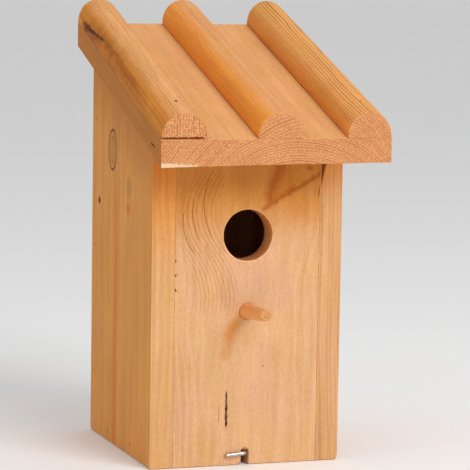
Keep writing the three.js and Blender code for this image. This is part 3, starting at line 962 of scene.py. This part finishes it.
def chipped_edge(height, size):
    """A cutter for a small chip out of the door's left arris."""
    x = door_lo.x - DOOR_FIT
    outline = [(x - MM, height - size), (x + size * 0.45, height - size * 0.2), (x - MM, height + size)]
    return prism("chip", outline, FRONT - MM, FRONT + 5 * MM, 1)


HOLE_RADIUS, HOLE_HEIGHT, HOLE_LIP = 16 * MM, 145 * MM, 0.35 * MM
NOTCH_HALF, NOTCH_TOP, NOTCH_CORNER = 2.5 * MM, 9.2 * MM, 1.6 * MM


def entrance_cutter():
    """The entrance hole, eased at both faces and torn on the inner part of its wall."""
    thick = door_hi.y - door_lo.y
    hole, lip = HOLE_RADIUS, HOLE_LIP
    outer = [(-2 * MM, 0), (-2 * MM, hole + lip * 1.6), (0, hole + lip)]
    body = [(lip, hole), (thick * 0.4, hole), (thick * 0.75, hole), (thick - lip, hole)]
    inner = [(thick, hole + lip), (thick + 2 * MM, hole + lip * 1.6), (thick + 2 * MM, 0)]
    torn = (thick * 0.3, 0.4 * MM)
    middle = Vector((0, FRONT, HOLE_HEIGHT))
    return turned("hole", outer + body + inner, middle, Y, 144, 31, 0.15 * MM, torn)


def notch_cutter():
    """The slot for the hook, with its left lower corner broken away."""
    half, top, corner = NOTCH_HALF, NOTCH_TOP, NOTCH_CORNER
    outline = [
        (-half - corner, -MM), (-half - corner * 0.9, 0.05 * MM),
        (-half - corner * 0.3, corner * 0.5), (-half, corner * 1.3),
        (-half, top), (half, top), (half, -MM),
    ]
    return prism("notch", outline, FRONT - MM, door_hi.y + MM, 1)


def split_cutter():
    """The open split above the notch: up its right side and down its left."""
    crack = [(-12.7, 47.5), (-12.2, 44), (-12.6, 40.5), (-12.0, 37.5), (-12.4, 35), (-11.9, 32), (-12.5, 28)]
    crack += [(-12.9, 23.5), (-13.4, 26), (-13.0, 29), (-13.5, 32.5), (-12.9, 36), (-13.4, 38), (-12.9, 41)]
    return prism("split", [(x * MM, z * MM) for x, z in crack], FRONT - MM, FRONT + 2.5 * MM, 1)


def build_door():
    fit = Vector((DOOR_FIT, 0, 0))
    steps = (3 * MM,) * 3
    mesh = slab("front_door_wood", door_lo - fit, door_hi + fit, JOINT_ARRIS, steps, None, 23, 0.04 * MM)
    chips = [chipped_edge(height * MM, size * MM) for height, size in ((130, 1.9), (121, 2.1), (112, 2.6))]
    mesh = carve(mesh, [entrance_cutter(), notch_cutter(), split_cutter(), *chips])
    crisp(link(mesh.name, mesh, door_wood, "door", "door_wood", "front_door"))


def build_peg():
    """A tapered peg with its tip raised and its rim worn round."""
    tilt = math.radians(3.4)
    axis = Vector((0, -math.cos(tilt), math.sin(tilt)))
    root, tip = 4.7 * MM, 3.6 * MM
    bore, reach = 11 * MM, 36 * MM
    start = Vector((0, FRONT, 97.2 * MM)) - axis * bore
    length = bore + reach
    steps = 10
    profile = [(0, 0), (0, root), (bore, root)]
    for i in range(1, steps + 1):
        profile.append((bore + (reach - MM) * i / steps, root + (tip - root) * i / steps))
    profile += [(length - 0.6 * MM, tip - 0.12 * MM), (length - 0.15 * MM, tip - 0.45 * MM)]
    profile += [(length, tip - 0.9 * MM), (length, 0)]
    mesh = turned("perch_wood", profile, start, axis, 48, 41, 0.12 * MM)
    link(mesh.name, mesh, peg_wood, "door", "perch_wood", "perch")


WIRE_RADIUS = 1.3 * MM
HOOK_HEIGHT, HOOK_LEG, HOOK_BEND, HOOK_STAND_OFF = 7.5 * MM, 13.2 * MM, 2.2 * MM, 0.5 * MM
HOOK_DROOP = math.radians(4.2)
THREAD_START = floor_lo.y + 1.2 * MM
THREAD_LENGTH, THREAD_PITCH, THREAD_DEPTH = 14 * MM, 1.2 * MM, 0.35 * MM


def thread_rings(count=88):
    """The threaded shank, as (point, radius), running out to a point over its last quarter."""
    rings = []
    for i in range(1, count + 1):
        along = THREAD_LENGTH * i / count
        groove = math.sin(math.pi * along / THREAD_PITCH) ** 2 * THREAD_DEPTH
        taper = min(1.0, (1 - i / count) * 4 + 0.05)
        rings.append((Vector((0, THREAD_START + along, 0)), (WIRE_RADIUS - groove) * taper))
    return rings


def hook_route():
    """The wire as (point, radius): in from the leg's blunt end, round the bend and down the shank."""
    leg_y = FRONT - HOOK_STAND_OFF - WIRE_RADIUS
    leg_steps, bend_steps, plain_steps = 24, 16, 12
    route = []
    for i in range(leg_steps + 1):
        across = -HOOK_LEG + (HOOK_LEG - HOOK_BEND) * i / leg_steps
        route.append((Vector((across, leg_y, 0)), WIRE_RADIUS))
    centre = Vector((-HOOK_BEND, leg_y + HOOK_BEND, 0))
    for i in range(1, bend_steps + 1):
        angle = math.pi / 2 * i / bend_steps
        way = Vector((math.sin(angle), -math.cos(angle), 0))
        route.append((centre + way * HOOK_BEND, WIRE_RADIUS))
    plain = THREAD_START - route[-1][0].y
    for i in range(1, plain_steps + 1):
        route.append((Vector((0, THREAD_START - plain + plain * i / plain_steps, 0)), WIRE_RADIUS))
    route += thread_rings()
    ease = 0.25 * MM
    end = route[0][0]
    inward = (route[1][0] - end).normalized()
    return [(end, 0.0), (end, WIRE_RADIUS - ease), (end + inward * ease, WIRE_RADIUS), *route[1:]]


def build_hook():
    """Bent wire with a screw thread on the end that sits in the floor."""
    route = hook_route()
    sides = 28
    inward = (route[2][0] - route[0][0]).normalized()
    vertices, rows = [], []
    for i, (point, radius) in enumerate(route):
        before, after = route[max(i - 1, 0)][0], route[min(i + 1, len(route) - 1)][0]
        ahead = (after - before).normalized() if (after - before).length > 0 else inward
        beside = Z.cross(ahead).normalized()
        row = []
        for j in range(sides if radius > 0 else 1):
            angle = 2 * math.pi * j / sides
            row.append(len(vertices))
            vertices.append(point + (beside * math.cos(angle) + Z * math.sin(angle)) * radius)
        rows.append(row)
    rows.append([len(vertices)])
    vertices.append(route[-1][0] + Y * 0.2 * MM)
    hang = Matrix.Rotation(-HOOK_DROOP, 4, "Y")
    vertices = [hang @ v + Z * HOOK_HEIGHT for v in vertices]
    mesh = mesh_from("latch_hook_wire", vertices, skin(rows, sides))
    link(mesh.name, mesh, zinc, "hook", "zinc", "latch_hook")


build_roof_board()
build_batten("left", 0.28 * MM, hollow=0.6 * MM)
build_batten("middle", 0.22 * MM)
build_batten("right", 0.22 * MM)
for side in ("left", "right"):
    build_side(side)
build_back()
build_floor()
build_door()
build_peg()
build_hook()

# ------------------------------------------------------------------ metal, as the frame has it

for name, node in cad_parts.items():
    if name == "hanger_strip":
        finish = zinc
    elif "tack" in name:
        finish = steel
    elif name.startswith("batten_nail") and name != "batten_nail_left_1":
        finish = waxed_steel
    elif "nail" in name:
        finish = stained_steel
    else:
        continue
    node.data.materials.clear()
    node.data.materials.append(finish)

# ------------------------------------------------------------------ floor, light and camera


def pale_stage():
    """A floor wide enough for its far edge to stay out of the picture, just under the box."""
    graph = Graph("pale_floor")
    place = graph.coordinate("Object")
    speckle = graph.noise(place, (0.4, 0.4, 0.4), detail=2) * 0.01 + 0.96
    graph.finish(graph.combine(speckle, speckle, speckle), 0.9)
    half, drop = 200.0, -0.3 * MM
    corners = [(-half, -half, drop), (half, -half, drop), (half, half, drop), (-half, half, drop)]
    mesh = mesh_from("stage_floor", corners, [[0, 1, 2, 3]])
    mesh.materials.append(graph.material)
    floor = bpy.data.objects.new("stage_floor", mesh)
    bpy.context.scene.collection.objects.link(floor)


def soft_box(name, place, size, power, aim):
    """A square soft light of the given size in metres and power in watts, pointed at aim."""
    light = bpy.data.lights.new(name, "AREA")
    light.shape, light.size, light.energy = "SQUARE", size, power
    lamp = bpy.data.objects.new(name, light)
    lamp.location = place
    lamp.rotation_euler = (aim - Vector(place)).to_track_quat("-Z", "Y").to_euler()
    bpy.context.scene.collection.objects.link(lamp)


def studio_light():
    world = bpy.data.worlds.new("studio")
    world.use_nodes = True
    world.node_tree.nodes["Background"].inputs[0].default_value = (1, 1, 1, 1)
    world.node_tree.nodes["Background"].inputs[1].default_value = 0.62
    bpy.context.scene.world = world
    middle = (cad_lo + cad_hi) / 2
    soft_box("key", (0.67, -1.74, 1.3), 1.3, 27, middle)
    soft_box("fill", (-1.8, -0.6, 0.5), 1.2, 3.5, middle)


def camera():
    """The photograph's viewing angle: from the left of the front, a little above."""
    middle = (cad_lo + cad_hi) / 2
    aim = middle + Vector((5.3, -2.3, -4.2)) * MM
    turn, lift, roll = math.radians(19.15), math.radians(6.14), math.radians(0.89)
    distance, lens = 1.473, 176.2
    look = Vector((math.sin(turn) * math.cos(lift), math.cos(turn) * math.cos(lift), -math.sin(lift)))
    right = Vector((math.cos(turn), -math.sin(turn), 0))
    up = right.cross(look)
    level = math.cos(roll)
    across = right * level + up * math.sin(roll)
    upward = up * level - right * math.sin(roll)
    view = bpy.data.cameras.new("camera")
    view.lens, view.sensor_width = lens, 36
    holder = bpy.data.objects.new("camera", view)
    turned_to = Matrix((across, upward, -look)).transposed().to_4x4()
    holder.matrix_world = Matrix.Translation(aim - look * distance) @ turned_to
    bpy.context.scene.collection.objects.link(holder)
    bpy.context.scene.camera = holder


pale_stage()
studio_light()
camera()
bpy.context.scene.view_settings.view_transform = "Standard"
